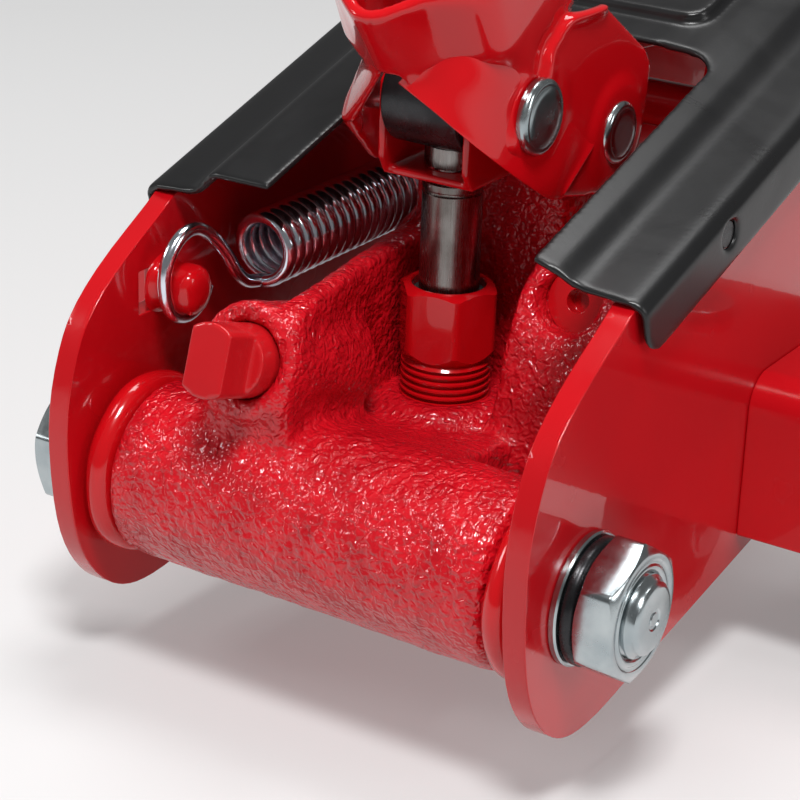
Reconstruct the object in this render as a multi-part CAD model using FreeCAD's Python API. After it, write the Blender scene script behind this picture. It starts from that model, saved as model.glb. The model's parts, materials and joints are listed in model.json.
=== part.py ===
import FreeCAD, Part
import os, math
from FreeCAD import Vector as V

os.makedirs("parts", exist_ok=True)

# ---------------------------------------------------------------- driving dimensions (mm)
# Working axes: origin on the rear through-bolt axis, X forward to the saddle, Y left, Z up.
GROUND_Z = -42.0            # floor below the rear bolt axis
X_SHIFT = -235.245           # moves the origin to the middle of the overall length
GAP = 98.0                  # clear width between the side plates
PLATE_T = 4.7
YI = GAP / 2.0
YO = YI + PLATE_T
BARREL_R = 18.0
BARREL_L = 84.7
BOLT_R = 8.0
HEX_AF = 24.0
RAM_Z = 18.35               # cylinder axis height
RAM_R = 14.0
CYL_R = 21.0
TANK_R = 31.0
TANK_T = 2.2
CYL_X0, CYL_X1 = 70.0, 131.0
CAP_X1 = 137.0
RAM_X0, RAM_X1 = 74.5, 140.0
PIN_X = 167.8               # ram pin at rest
RAM_PIN_R = 7.0
PLUNGER_X = 37.6
PLUNGER_R = 6.0
PLUNGER_TOP = 66.0
PIVOT = (63.5, 66.0)        # handle socket pivot pin (x, z)
ROLLER = (33.0, 76.0)       # pump roller pin (x, z)
SOCKET_Y = 21.1             # half width over the socket walls
SOCKET_T = 2.7
ARM_PIVOT = (190.0, 68.0)
ARM_LEN = 250.0
ARM_REST = math.radians(-7.0)
SADDLE_PIN = (ARM_PIVOT[0] + ARM_LEN * math.cos(ARM_REST), ARM_PIVOT[1] + ARM_LEN * math.sin(ARM_REST))
CRANK_LEN = 52.0
CRANK_REST = math.radians(24.5)
LINK_DX, LINK_DZ = 9.9, -31.5
LINK_A = (ARM_PIVOT[0] + LINK_DX, ARM_PIVOT[1] + LINK_DZ)
LINK_B = (SADDLE_PIN[0] + LINK_DX, SADDLE_PIN[1] + LINK_DZ)
SADDLE_X = SADDLE_PIN[0] + 9.9
SADDLE_R = 45.0
SADDLE_TOP = 95.0
AXLE = (420.0, -14.0)
WHEEL_R = 28.0
AXLE_R = 8.0
CASTER_X, CASTER_Y = 93.0, 79.5
CASTER_R = 17.0
TRAIL = 8.0
COVER_T = 1.6
SLOPE = math.radians(17.0)
VALVE = (-8.0, 16.0, 31.3)  # where the release stem leaves its boss
VALVE_TILT = math.radians(17.6)
SPRING_Y, SPRING_Z = 38.0, 38.5

# ---------------------------------------------------------------- helpers
def box(x0, x1, y0, y1, z0, z1):
    return Part.makeBox(x1 - x0, y1 - y0, z1 - z0, V(x0, y0, z0))

def cy(x, z, r, y0, y1):
    return Part.makeCylinder(r, y1 - y0, V(x, y0, z), V(0, 1, 0))

def cx(y, z, r, x0, x1):
    return Part.makeCylinder(r, x1 - x0, V(x0, y, z), V(1, 0, 0))

def cz(x, y, r, z0, z1):
    return Part.makeCylinder(r, z1 - z0, V(x, y, z0), V(0, 0, 1))

def prism_y(pts, y0, y1):
    """Extrude an (x, z) polygon along Y."""
    w = Part.makePolygon([V(x, y0, z) for x, z in pts] + [V(pts[0][0], y0, pts[0][1])])
    return Part.Face(w).extrude(V(0, y1 - y0, 0))

def prism_z(pts, z0, z1):
    w = Part.makePolygon([V(x, y, z0) for x, y in pts] + [V(pts[0][0], pts[0][1], z0)])
    return Part.Face(w).extrude(V(0, 0, z1 - z0))

def hull_y(c1, r1, c2, r2, y0, y1):
    """Bar outline around two circles in the XZ plane, extruded along Y."""
    dx, dz = c2[0] - c1[0], c2[1] - c1[1]
    d = math.hypot(dx, dz)
    a = math.atan2(dz, dx)
    b = math.acos((r1 - r2) / d)
    pts = []
    for s in (1, -1):
        pts.append(((c1[0] + r1 * math.cos(a + s * b), c1[1] + r1 * math.sin(a + s * b)),
                    (c2[0] + r2 * math.cos(a + s * b), c2[1] + r2 * math.sin(a + s * b))))
    far1 = (c1[0] - r1 * math.cos(a), c1[1] - r1 * math.sin(a))
    far2 = (c2[0] + r2 * math.cos(a), c2[1] + r2 * math.sin(a))
    P = lambda q: V(q[0], y0, q[1])
    e = [Part.LineSegment(P(pts[0][0]), P(pts[0][1])).toShape(),
         Part.Arc(P(pts[0][1]), P(far2), P(pts[1][1])).toShape(),
         Part.LineSegment(P(pts[1][1]), P(pts[1][0])).toShape(),
         Part.Arc(P(pts[1][0]), P(far1), P(pts[0][0])).toShape()]
    return Part.Face(Part.Wire(e)).extrude(V(0, y1 - y0, 0))

def slot_y(c, ang, r, half, y0, y1):
    c1 = (c[0] - half * math.cos(ang), c[1] - half * math.sin(ang))
    c2 = (c[0] + half * math.cos(ang), c[1] + half * math.sin(ang))
    return hull_y(c1, r, c2, r, y0, y1)

def revolve_y(pts, x, z):
    """Revolve an (r, y) polygon about the Y line through (x, z)."""
    w = Part.makePolygon([V(x + r, y, z) for r, y in pts] + [V(x + pts[0][0], pts[0][1], z)])
    return Part.Face(w).revolve(V(x, 0, z), V(0, 1, 0), 360)

def revolve_z(pts, x, y):
    """Revolve an (r, z) polygon about the Z line through (x, y)."""
    w = Part.makePolygon([V(x + r, y, z) for r, z in pts] + [V(x + pts[0][0], y, pts[0][1])])
    return Part.Face(w).revolve(V(x, y, 0), V(0, 0, 1), 360)

def revolve_x(pts, y, z):
    """Revolve an (x, r) polygon about the X line through (y, z)."""
    w = Part.makePolygon([V(x, y, z + r) for x, r in pts] + [V(pts[0][0], y, z + pts[0][1])])
    return Part.Face(w).revolve(V(0, y, z), V(1, 0, 0), 360)

def hex_y(x, z, af, y0, y1, a0=0.0):
    r = af / math.sqrt(3.0)
    return prism_y([(x + r * math.cos(a0 + k * math.pi / 3), z + r * math.sin(a0 + k * math.pi / 3)) for k in range(6)], y0, y1)

def hex_z(x, y, af, z0, z1, a0=0.0):
    r = af / math.sqrt(3.0)
    return prism_z([(x + r * math.cos(a0 + k * math.pi / 3), y + r * math.sin(a0 + k * math.pi / 3)) for k in range(6)], z0, z1)

def fuse(a, *rest):
    for b in rest:
        a = a.fuse(b)
    return a.removeSplitter()

def mirror(s):
    return s.mirror(V(0, 0, 0), V(0, 1, 0))

def group(*s):
    return Part.makeCompound(list(s))

PARTS = {}

def put(name, shape):
    PARTS[name] = shape

# ---------------------------------------------------------------- side plates
# Rear end is a rounded ear around the bolt; the top edge climbs at the cover's slope to a hump
# over the arm pivot, then falls to the front axle boss.
rear = [(13.0, 51.7), (7.0, 48.0), (-0.6, 43.7), (-6.4, 39.9), (-11.3, 35.9), (-14.8, 31.9), (-17.3, 27.2),
        (-19.3, 21.5), (-20.4, 16.5), (-20.9, 11.0), (-20.8, 4.5), (-20.2, -2.0), (-18.8, -9.5), (-16.4, -15.8),
        (-12.6, -21.4), (-7.5, -25.8), (-2.0, -28.2), (4.0, -28.9), (10.5, -28.5), (18.2, -27.2)]
def plate(y0, y1):
    P = lambda q: V(q[0], y0, q[1])
    sp = Part.BSplineCurve()
    sp.interpolate([P(q) for q in rear])
    top_x = 132.0
    top_z = 51.7 + math.tan(SLOPE) * (top_x - 13.0)
    low = [(18.2, -27.2), (50.7, -21.6), (78.0, -17.0), (140.0, -14.0), (330.0, -15.0), (405.0, -28.2)]
    e = [sp.toShape()]
    for a, b in zip(low[:-1], low[1:]):
        e.append(Part.LineSegment(P(a), P(b)).toShape())
    e.append(Part.Arc(P(low[-1]), P((437.0, -14.0)), P((420.0, 3.5))).toShape())
    up = [(420.0, 3.5), (395.0, 10.0), (300.0, 52.0), (226.0, 84.0)]
    for a, b in zip(up[:-1], up[1:]):
        e.append(Part.LineSegment(P(a), P(b)).toShape())
    e.append(Part.Arc(P(up[-1]), P((190.0, 91.5)), P((152.0, 91.0))).toShape())
    e.append(Part.LineSegment(P((152.0, 91.0)), P((top_x, top_z))).toShape())
    e.append(Part.LineSegment(P((top_x, top_z)), P((13.0, 51.7))).toShape())
    s = Part.Face(Part.Wire(e)).extrude(V(0, y1 - y0, 0))
    s = s.cut(cy(0, 0, BOLT_R + 0.05, y0 - 1, y1 + 1))
    s = s.cut(cy(ARM_PIVOT[0], ARM_PIVOT[1], 10.05, y0 - 1, y1 + 1))
    s = s.cut(cy(AXLE[0], AXLE[1], AXLE_R + 0.02, y0 - 1, y1 + 1))
    s = s.cut(cy(LINK_A[0], LINK_A[1], 6.02, y0 - 1, y1 + 1))
    s = s.cut(cy(TIE[0], TIE[1], 5.02, y0 - 1, y1 + 1))
    return s

TIE = (100.0, 62.0)
right = plate(-YO, -YI)
left = plate(YI, YO)
# spring tab lanced out of the left plate, with its window behind it
left = left.cut(box(1.6, 9.0, YI - 1, YO + 1, 29.5, 38.5))
tab = prism_z([(9.0, YI + 2.0), (13.4, YI + 2.0), (13.4, YI), (12.6, YI - 8.2), (6.4, YI - 9.0), (7.4, YI - 5.0), (9.0, YI)], 30.0, 38.0)
left = fuse(left, tab)
put("side_plate_left", left)
put("side_plate_right", right)

# ---------------------------------------------------------------- rear bolt and its stack
shank = cy(0, 0, BOLT_R, -68.4, YO + 1.5)
tip = cy(0, 0, BOLT_R, -68.4, -64.0).common(revolve_y([(0, -68.4), (7.0, -68.4), (8.2, -67.2), (8.2, -64), (0, -64)], 0, 0))
shank = fuse(cy(0, 0, BOLT_R, -66.0, YO + 1.5), tip)
head = hex_y(0, 0, HEX_AF, YO + 1.5, YO + 11.5, 0.2).common(revolve_y([(0, YO), (14.4, YO), (14.4, YO + 10.3), (12.4, YO + 11.5), (0, YO + 11.5)], 0, 0))
put("through_bolt", fuse(shank, head))
put("bolt_washers", group(cy(0, 0, 12.8, YO, YO + 1.5).cut(cy(0, 0, BOLT_R + 0.02, YO - 1, YO + 3)),
                          cy(0, 0, 12.8, -YO - 1.6, -YO).cut(cy(0, 0, BOLT_R + 0.02, -YO - 3, -YO + 1))))
lock = cy(0, 0, 12.2, -YO - 4.4, -YO - 1.6).cut(cy(0, 0, BOLT_R + 0.02, -YO - 6, -YO))
lock = lock.cut(box(6, 14, -YO - 5, -YO, -0.4, 0.4))
put("lock_washer", lock)
nut = hex_y(0, 0, HEX_AF, -YO - 12.4, -YO - 4.4, 2.03)
nut = nut.common(revolve_y([(0, -YO - 4.4), (12.6, -YO - 4.4), (14.2, -YO - 5.6), (14.2, -YO - 11.2), (12.4, -YO - 12.4), (0, -YO - 12.4)], 0, 0))
put("through_nut", nut.cut(cy(0, 0, BOLT_R + 0.01, -YO - 14, -YO)))
def spacer(s):
    y0, y1 = BARREL_L / 2 + 0.1, YI
    p = [(8.1, y0), (16.6, y0), (18.0, y0 + 1.0), (18.6, y0 + 2.6), (18.4, y0 + 4.2), (17.2, y0 + 5.6), (16.0, y1), (8.1, y1)]
    return revolve_y([(r, s * y) for r, y in p], 0, 0)
put("barrel_spacers", group(spacer(1), spacer(-1)))

# ---------------------------------------------------------------- frame cross members
put("tie_bar", fuse(cy(TIE[0], TIE[1], 5.0, -YO, YO), cy(TIE[0], TIE[1], 7.5, -YI, -YI + 3), cy(TIE[0], TIE[1], 7.5, YI - 3, YI)))
shaft = cy(ARM_PIVOT[0], ARM_PIVOT[1], 10.0, -YO - 6, YO + 6)
for s in (1, -1):
    shaft = shaft.cut(cy(ARM_PIVOT[0], ARM_PIVOT[1], 12, s * (YO + 2.4) - 0.9, s * (YO + 2.4) + 0.9).cut(cy(ARM_PIVOT[0], ARM_PIVOT[1], 8.4, -80, 80)))
put("arm_pivot_shaft", shaft)
put("pivot_retaining_rings", group(*[cy(ARM_PIVOT[0], ARM_PIVOT[1], 14.0, s * (YO + 2.4) - 0.85, s * (YO + 2.4) + 0.85)
     .cut(cy(ARM_PIVOT[0], ARM_PIVOT[1], 8.45, -80, 80)).cut(box(ARM_PIVOT[0] - 3, ARM_PIVOT[0] + 3, -80, 80, ARM_PIVOT[1] - 20, ARM_PIVOT[1])) for s in (1, -1)]))
put("link_anchor_pins", group(*[fuse(cy(LINK_A[0], LINK_A[1], 6.0, min(s * 44.2, s * YO), max(s * 44.2, s * YO)),
     cy(LINK_A[0], LINK_A[1], 8.5, min(s * YO, s * (YO + 2.5)), max(s * YO, s * (YO + 2.5)))) for s in (1, -1)]))
put("front_axle", fuse(cy(AXLE[0], AXLE[1], AXLE_R, -84.5, 84.5), cy(AXLE[0], AXLE[1], 11.0, -YI + 0.0, YI)))
put("axle_washers", group(*[cy(AXLE[0], AXLE[1], r, min(s * a, s * b), max(s * a, s * b)).cut(cy(AXLE[0], AXLE[1], AXLE_R + 0.02, -90, 90))
     for s in (1, -1) for r, a, b in ((13.0, 79.4, 81.4), (11.0, YO, 56.8))]))
put("axle_retaining_nuts", group(*[cy(AXLE[0], AXLE[1], 11.5, min(s * 81.4, s * 86.4), max(s * 81.4, s * 86.4))
     .cut(cy(AXLE[0], AXLE[1], AXLE_R + 0.01, -84.5, 84.5)) for s in (1, -1)]))

# ---------------------------------------------------------------- casters and their hoods
def hood():
    x0, x1 = CASTER_X - 27.5, CASTER_X + 27.5
    y0, y1 = YO, CASTER_Y + 26.8
    zt, zb = 21.0, -13.5
    o = box(x0, x1, y0, y1, zb, zt)
    o = o.makeFillet(7.0, [e for e in o.Edges if abs(e.BoundBox.ZMax - zt) < 0.01 and e.BoundBox.ZMin > zt - 0.01 and e.BoundBox.YMax > y0 + 1])
    i = box(x0 + 3, x1 - 3, y0 - 1, y1 - 3, zb - 1, zt - 3.5)
    s = o.cut(i)
    s = s.cut(cz(CASTER_X, CASTER_Y, 5.05, 10, 30))
    return s
def fork():
    plate_ = cz(CASTER_X, CASTER_Y, 14.0, 11.0, 14.0)
    pl2 = box(CASTER_X - TRAIL - 6, CASTER_X + 8, CASTER_Y - 10.4, CASTER_Y + 10.4, 11.0, 14.0)
    arms = []
    for s in (1, -1):
        y0, y1 = sorted((CASTER_Y + s * 7.9, CASTER_Y + s * 10.4))
        arms.append(prism_y([(CASTER_X - TRAIL - 6, -25), (CASTER_X - TRAIL + 6, -25), (CASTER_X + 8, 11), (CASTER_X + 8, 14), (CASTER_X - TRAIL - 6, 14)], y0, y1))
        arms.append(cy(CASTER_X - TRAIL, -25, 6.0, y0, y1))
    s = fuse(plate_, pl2, *arms)
    s = s.cut(cy(CASTER_X - TRAIL, -25, 3.02, 0, 120))
    return s
def kingpin():
    s = fuse(cz(CASTER_X, CASTER_Y, 5.0, 14.0, 23.6), cz(CASTER_X, CASTER_Y, 9.0, 14.0, 17.2), cz(CASTER_X, CASTER_Y, 7.8, 21.3, 23.6))
    return s
def caster_axle():
    s = fuse(cy(CASTER_X - TRAIL, -25, 3.0, CASTER_Y - 11.6, CASTER_Y + 11.6), cy(CASTER_X - TRAIL, -25, 4.6, CASTER_Y - 12.0, CASTER_Y - 10.4),
             cy(CASTER_X - TRAIL, -25, 4.6, CASTER_Y + 10.4, CASTER_Y + 12.0))
    return s
def caster_wheel():
    c = CASTER_Y
    p = [(3.06, c - 7.4), (6.5, c - 7.4), (6.5, c - 5.0), (12.5, c - 5.0), (13.5, c - 7.0), (16.2, c - 7.0), (CASTER_R, c - 6.0),
         (CASTER_R, c + 6.0), (16.2, c + 7.0), (13.5, c + 7.0), (12.5, c + 5.0), (6.5, c + 5.0), (6.5, c + 7.4), (3.06, c + 7.4)]
    return revolve_y(p, CASTER_X - TRAIL, -25)
put("caster_kingpins", group(kingpin(), mirror(kingpin())))
for nm, f in (("caster_hood", hood), ("caster_fork", fork), ("caster_axle", caster_axle), ("caster_wheel", caster_wheel)):
    s = f()
    put(nm + "_left", s)
    put(nm + "_right", mirror(s))

# ---------------------------------------------------------------- front wheels
def front_wheel():
    y0, y1 = 57.0, 79.0
    p = [(AXLE_R + 0.06, y0), (12.0, y0), (12.0, y0 + 4.0), (22.0, y0 + 4.0), (23.0, y0 + 0.6), (26.8, y0 + 0.6), (WHEEL_R, y0 + 2.0),
         (WHEEL_R, y1 - 2.0), (26.8, y1 - 0.6), (23.0, y1 - 0.6), (22.0, y1 - 5.0), (13.5, y1 - 5.0), (12.0, y1), (AXLE_R + 0.06, y1)]
    return revolve_y(p, AXLE[0], AXLE[1])
w = front_wheel()
put("front_wheel_left", w)
put("front_wheel_right", mirror(w))

# ---------------------------------------------------------------- top cover (pressed sheet)
def tilt(s, ox=12.0, oz=51.95):
    s = s.copy()
    s.rotate(V(0, 0, 0), V(0, 1, 0), -math.degrees(SLOPE))
    s.translate(V(ox, 0, oz))
    return s
CL = 134.0
# section across the cover, left to right; the inner land beside the notch is wider on the left
top = [(56.1, -11.5), (56.1, -1.2), (54.9, 0.5), (52.8, 1.2), (44.6, 1.9), (42.8, 2.6), (38.8, 6.6), (37.2, 7.4), (20.0, 7.6),
       (-20.0, 7.4), (-30.0, 6.6), (-34.0, 5.8), (-38.4, 4.4), (-41.4, 2.6), (-43.6, 1.8), (-52.8, 1.2), (-54.9, 0.5), (-56.1, -1.2), (-56.1, -11.5)]
bot = [(-54.7, -11.5), (-54.7, -1.7), (-54.0, -0.8), (-52.4, -0.2), (-43.4, 0.3), (-40.8, 1.0), (-37.8, 2.8), (-33.8, 4.3), (-29.8, 5.1),
       (-20.0, 5.9), (20.0, 6.1), (36.6, 5.9), (37.8, 5.4), (41.8, 1.4), (44.2, 0.4), (52.4, -0.2), (54.0, -0.8), (54.7, -1.7), (54.7, -11.5)]
cov = Part.Face(Part.makePolygon([V(0, y, z) for y, z in top + bot] + [V(0, top[0][0], top[0][1])])).extrude(V(CL, 0, 0))
notch = box(-1, 73.5, -33.4, 24.3, -3, 12)
notch = notch.makeFillet(6.0, [e for e in notch.Edges if abs(e.BoundBox.XMin - 73.5) < 0.01 and e.BoundBox.ZLength > 10])
cov = cov.cut(notch)
# raised panel ahead of the notch, rounded flange corners, screw dimple holes
panel = box(82.0, 128.0, -26.0, 26.0, 6.2, 9.4)
panel = panel.makeFillet(5.0, [e for e in panel.Edges if e.BoundBox.ZLength > 3])
under = box(84.0, 126.0, -24.0, 24.0, 4.0, 7.8)
cov = fuse(cov, panel).cut(under)
for s in (1, -1):
    for xx, zz in ((0.0, -11.6),):
        c = box(-1, 6.0, min(s * 50, s * 58), max(s * 50, s * 58), -12.5, -5.5)
        keep = Part.makeCylinder(6.0, 10, V(6.0, s * 50 if s > 0 else -60, -5.5), V(0, 1, 0))
        cov = cov.cut(c.cut(keep))
    for xx in (33.0, 112.0):
        cov = cov.cut(Part.makeCylinder(2.7, 12, V(xx, s * 48 if s > 0 else -60, -4.6), V(0, 1, 0)))
put("top_cover", tilt(cov))
scr = []
for s in (1, -1):
    for xx in (33.0, 112.0):
        scr.append(tilt(Part.makeCylinder(2.6, 1.7, V(xx, s * YO, -4.6), V(0, s, 0))))
put("cover_rivets", group(*scr))

# ---------------------------------------------------------------- pump casting
barrel = cy(0, 0, BARREL_R, -BARREL_L / 2, BARREL_L / 2)
base = prism_y([(0, -8.0), (6.0, -17.4), (60, -15.0), (75, -13.0), (75, 14), (56, 12.0), (30, 11.5), (18, 12.6), (7.0, 16.9), (0, 12.0)], -20.5, 26.5)
vd = V(-math.cos(VALVE_TILT), 0, math.sin(VALVE_TILT))
vp = V(*VALVE)
# left: a tilted boss for the release stem, growing out of a narrow ridge that climbs to the tower
boss_l = Part.makeCylinder(11.4, 31.0, vp - vd * 30.0, vd)
web_l = prism_y([(-8.6, 6.0), (-10.4, 24.0), (-9.0, 31.0), (12.0, 26.0), (24, 8.0)], 6.2, 25.4)
ridge = prism_y([(-8.6, 10.0), (-10.0, 24.0), (-7.2, 36.0), (-3.5, 40.5), (3.0, 42.3), (58, 42.3), (58, 0), (0, 0)], 4.9, 27.0)
ridge = ridge.common(prism_z([(-12, 4.9), (24, 11.0), (60, 12.5), (60, 21.5), (8, 13.5), (-12, 12.5)], -1, 60))
lug_l = boss_l.fuse(web_l).fuse(ridge)
lug_r = prism_y([(28, 6.0), (35.0, 28.0), (39.5, 38.5), (46.0, 43.5), (64, 43.5), (64, 0), (30, 0)], -36.0, -14.0)
flange = revolve_x([(58, 0), (58, 30.0), (62, 33.5), (76, 33.5), (76, 0)], 0, RAM_Z)
tower = prism_y([(48, 12), (52, 60), (53.5, 70), (58.5, 76.0), (68.5, 76.0), (73.5, 70), (75.5, 40), (76, 12)], -17.6, 17.6)
house = barrel
for q in (base, lug_l, lug_r, flange, tower):
    house = house.fuse(q)
# gland pocket kept open around the pump nut
house = house.cut(cz(PLUNGER_X, 0, 11.6, 12.0, 80.0))
house = house.cut(cy(0, 0, BOLT_R + 0.08, -60, 60))
house = house.cut(cz(PLUNGER_X, 0, 9.0, 4.0, 20.0))
house = house.cut(cz(PLUNGER_X, 0, 6.3, -13.0, 20.0))
# suction and delivery galleries beside the plunger bore, each holding a ball
house = house.cut(cy(PLUNGER_X, -8.5, 2.55, 3.0, 14.0)).cut(cx(0, -8.5, 2.55, 41.0, 53.0))
house = house.cut(cx(0, RAM_Z, CYL_R - 3.0, CYL_X0, 80))
house = house.cut(cx(0, RAM_Z, TANK_R, 73.0, 80).cut(cx(0, RAM_Z, CYL_R - 3.0 + 4.5, 60, 90)))
house = house.cut(cy(PIVOT[0], PIVOT[1], 4.55, -30, 30))
house = house.cut(Part.makeCylinder(7.25, 30, vp - vd * 16, vd))
house = house.cut(Part.makeCylinder(3.0, 8, vp - vd * 23.5, vd))
rp = V(43.0, -25.0, 37.5)
house = house.cut(Part.makeCylinder(6.6, 20, rp - vd * 9.0, vd))
# cored pocket at the foot of the right-hand lug
house = house.cut(Part.makeCylinder(5.2, 14.0, V(22.0, -29.5, 17.0), vd))
put("pump_housing", house)
put("overload_plug", Part.makeCylinder(6.55, 7.0, rp - vd * 9.0, vd).cut(Part.makeCylinder(2.4, 3.2, rp - vd * 5.2, vd)))

# release valve stem: round shank, two flats on the outer end, needle point inside
st = Part.makeCylinder(7.15, 27.0, vp - vd * 14.0, vd)
for s in (1, -1):
    c = Part.makeBox(9.2, 4.0, 20.0, V(-9.2, 4.45 if s > 0 else -8.45, -10.0))
    c.rotate(V(0, 0, 0), V(0, 1, 0), math.degrees(VALVE_TILT))
    c.translate(vp + vd * 5.0)
    st = st.cut(c)
st = fuse(st, Part.makeCone(2.6, 0.6, 6.5, vp - vd * 14.0, vd * -1))
put("release_valve_stem", st)

# pump gland nut, its wiper, plunger, return balls
gl = hex_z(PLUNGER_X, 0, 17.4, 19.5, 37.5, math.radians(10.0 + 30.0))
gl = gl.common(revolve_z([(0, 19.5), (9.0, 19.5), (10.2, 21.6), (10.2, 36.3), (9.0, 37.5), (0, 37.5)], PLUNGER_X, 0))
gl = fuse(gl, cz(PLUNGER_X, 0, 9.0, 4.0, 19.5))
gl = gl.cut(cz(PLUNGER_X, 0, PLUNGER_R + 0.05, 0, 40)).cut(cz(PLUNGER_X, 0, 7.4, 34.0, 40))
put("pump_gland_nut", gl)
pl = fuse(cz(PLUNGER_X, 0, PLUNGER_R, 8.5, 58.6), cz(PLUNGER_X, 0, 3.8, 58.6, 61.95), cz(PLUNGER_X, 0, 5.8, 61.95, PLUNGER_TOP))
pl = pl.cut(cz(PLUNGER_X, 0, 7, 56.4, 57.1).cut(cz(PLUNGER_X, 0, 5.6, 50, 60)))
put("pump_plunger", pl)
put("check_valve_balls", group(Part.makeSphere(2.5, V(PLUNGER_X, 11.0, -8.5)), Part.makeSphere(2.5, V(50.0, 0, -8.5))))

# ---------------------------------------------------------------- ram cylinder, tank, ram
cyl = revolve_x([(CYL_X0, 14.6), (CYL_X0, 18.0), (76, 18.0), (76, CYL_R), (CYL_X1, CYL_R), (CYL_X1, RAM_R + 0.05), (126, RAM_R + 0.05), (124, 14.6)], 0, RAM_Z)
put("ram_cylinder", cyl)
tank = revolve_x([(73.0, TANK_R - TANK_T), (73.0, TANK_R), (CYL_X1 - 0.4, TANK_R), (CYL_X1 - 0.4, TANK_R - TANK_T)], 0, RAM_Z)
tank = tank.cut(cz(100, 0, 4.0, RAM_Z + 20, RAM_Z + 40))
put("oil_tank", tank)
cap = revolve_x([(CYL_X1 - 0.4, CYL_R + 0.02), (CYL_X1 - 0.4, 32.5), (CYL_X1 + 3, 32.5), (CAP_X1, 27.0), (CAP_X1, RAM_R + 1.2), (CYL_X1, RAM_R + 1.2), (CYL_X1, CYL_R + 0.02)], 0, RAM_Z)
put("tank_end_nut", cap)
put("seal_rings", group(Part.makeTorus(6.4, 0.8, vp - vd * 15.1, vd), cz(PLUNGER_X, 0, 7.35, 34.05, 35.6).cut(cz(PLUNGER_X, 0, PLUNGER_R + 0.04, 30, 40)), revolve_x([(CYL_X1 + 0.1, RAM_R + 0.04), (CYL_X1 + 0.1, RAM_R + 1.15), (CAP_X1 + 0.6, RAM_R + 1.15), (CAP_X1 + 0.6, RAM_R + 0.5), (CAP_X1 - 0.4, RAM_R + 0.04)], 0, RAM_Z)))
put("filler_plug", fuse(cz(100, 0, 3.95, RAM_Z + TANK_R - 3.5, RAM_Z + TANK_R), cz(100, 0, 6.5, RAM_Z + TANK_R + 0.3, RAM_Z + TANK_R + 2.6), cz(100, 0, 3.95, RAM_Z + TANK_R - 1, RAM_Z + TANK_R + 1)))
ram = revolve_x([(RAM_X0, 0), (RAM_X0, 10.0), (RAM_X0 + 4, 10.0), (RAM_X0 + 4, 13.6), (RAM_X0 + 6, RAM_R), (RAM_X1, RAM_R), (RAM_X1, 0)], 0, RAM_Z)
put("ram", ram)
put("ram_cup_seal", revolve_x([(RAM_X0 - 0.5, 10.0), (RAM_X0 - 0.5, 14.5), (RAM_X0 + 3.8, 14.2), (RAM_X0 + 3.8, 10.05), (RAM_X0, 10.05)], 0, RAM_Z))
cle = fuse(box(RAM_X1, 149.2, -16.6, 16.6, RAM_Z - 14, RAM_Z + 14),
           hull_y((150.0, RAM_Z), 14.0, (PIN_X, RAM_Z), 13.0, 8.6, 16.6), hull_y((150.0, RAM_Z), 14.0, (PIN_X, RAM_Z), 13.0, -16.6, -8.6))
cle = cle.cut(box(149.2, 190, -8.6, 8.6, -10, 50)).cut(box(120, RAM_X1, -20, 20, -10, 50))
cle = cle.cut(prism_y([(152.0, 14.5), (141.2, 32.35), (137.5, 38.5), (165, 38.5), (165, 14.5)], -8.6, 8.6))     # relief for the crank's rear edge
cle = cle.cut(cy(PIN_X, RAM_Z, RAM_PIN_R + 0.02, -40, 40))
put("ram_clevis", cle)
put("ram_pin", fuse(cy(PIN_X, RAM_Z, RAM_PIN_R, -19.0, 19.0), cy(PIN_X, RAM_Z, 9.5, 16.6, 19.0), cy(PIN_X, RAM_Z, 9.5, -19.0, -16.6)))
# spring anchor ear bolted to the clevis side
anc = fuse(box(142.0, 146.0, 16.6, 42.5, 12.0, 26.0), box(142.0, 146.0, 33.5, 42.5, 12.0, 43.0))
anc = anc.cut(cx(SPRING_Y, SPRING_Z, 2.2, 130, 160))
put("spring_anchor", anc)

# return spring: coiled body between the lanced tab and the anchor ear
spr = cx(SPRING_Y, SPRING_Z, 7.9, 27.0, 136.0).cut(cx(SPRING_Y, SPRING_Z, 5.1, 20, 150))
put("return_spring", spr)

# ---------------------------------------------------------------- handle socket group
A = V(-math.cos(math.radians(54)), 0, math.sin(math.radians(54)))   # tube direction
B = V(math.sin(math.radians(54)), 0, math.cos(math.radians(54)))    # from the rear nose forward
N0 = V(13.0, 0, 84.0)
def L(s, b, y):
    return N0 + A * s + B * b + V(0, y, 0)
def sect(s, half, depth, nose, n=36, b0=0.0, sq=0.0):
    """Teardrop section: narrow nose at b0, widest at the front circle."""
    c1, r1 = b0 + nose, nose
    c2, r2 = b0 + depth - half, half
    pts = []
    d = c2 - c1
    ph = math.asin(max(-1, min(1, (r2 - r1) / d)))
    m = n // 2
    # upper half from the nose (b0) to the front, by equal fractions
    path = []
    for k in range(5):
        a = math.pi - (math.pi / 2 - ph) * k / 4.0
        path.append((c1 + r1 * math.cos(a), r1 * math.sin(a)))
    t0 = path[-1]
    t1 = (c2 + r2 * math.cos(math.pi / 2 + ph), r2 * math.sin(math.pi / 2 + ph))
    for k in range(1, 5):
        path.append((t0[0] + (t1[0] - t0[0]) * k / 4.0, t0[1] + (t1[1] - t0[1]) * k / 4.0))
    for k in range(1, 11):
        a = (math.pi / 2 + ph) * (1 - k / 10.0)
        path.append((c2 + r2 * math.cos(a), r2 * math.sin(a)))
    low = [(b, -y) for b, y in path[-2:0:-1]]
    return [L(s, b, y) for b, y in path + low]
def wire(p):
    return Part.makePolygon(p + [p[0]])
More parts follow.
